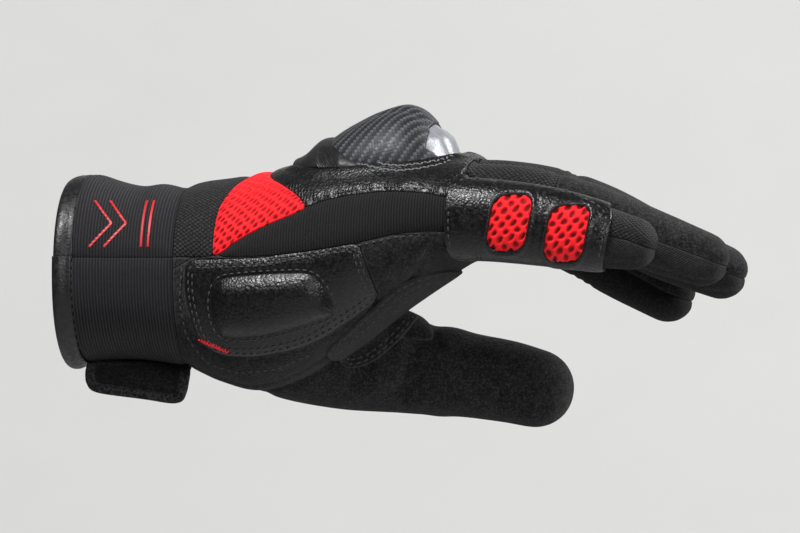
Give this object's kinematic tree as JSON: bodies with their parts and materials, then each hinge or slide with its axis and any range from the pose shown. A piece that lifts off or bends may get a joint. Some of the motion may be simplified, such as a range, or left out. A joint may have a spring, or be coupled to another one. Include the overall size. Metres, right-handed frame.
{
  "type": "summer motorcycle glove",
  "caption": "Right-hand summer motorcycle glove with a ribbed cuff, red mesh vents, a domed knuckle guard and a suede palm, held in the shape it has when worn.",
  "frame": {"origin": "centre of the cuff's mouth, where the hand goes in", "axes": "+X to the fingertips, +Y to the thumb's side, +Z out of the back of the hand"},
  "size_m": [0.2333, 0.0958, 0.1107],
  "materials": {
    "binding": "satin",
    "ribbed_knit": "matte",
    "hook_loop": "matte",
    "black_mesh": "matte",
    "red_mesh": "matte",
    "leather": "satin",
    "stretch_cloth": "matte",
    "suede": "matte",
    "guard_carbon": "satin",
    "guard_silver": "satin",
    "rim_rubber": "matte",
    "red_thread": "matte"
  },
  "bodies": {
    "root": {"cuff_binding_upper": "binding", "cuff_binding_lower": "binding", "cuff_upper": "ribbed_knit", "cuff_lower": "ribbed_knit", "wrist_strap": "hook_loop", "strap_tab": "hook_loop", "wrist_mesh": "black_mesh", "red_mesh": "red_mesh", "back_leather": "leather", "stretch_outer": "stretch_cloth", "stretch_inner": "stretch_cloth", "guard_rim": "rim_rubber", "guard_shell": "guard_carbon", "guard_nose": "guard_silver", "heel_leather": "leather", "heel_pad": "leather", "bar_tack": "red_thread", "side_suede": "suede", "palm_suede": "suede", "palm_tongue": "suede", "thumb": "suede", "thumb_gusset": "suede", "pinky_back": "black_mesh", "pinky_tip": "black_mesh", "pinky_palm": "suede", "pinky_overlay": "leather", "pinky_vent_1": "red_mesh", "pinky_vent_2": "red_mesh", "ring_back": "black_mesh", "ring_cap": "suede", "ring_palm": "suede", "middle_back": "black_mesh", "middle_cap": "suede", "middle_palm": "suede", "index_back": "black_mesh", "index_cap": "suede", "index_palm": "suede"}
  },
  "joints": []
}
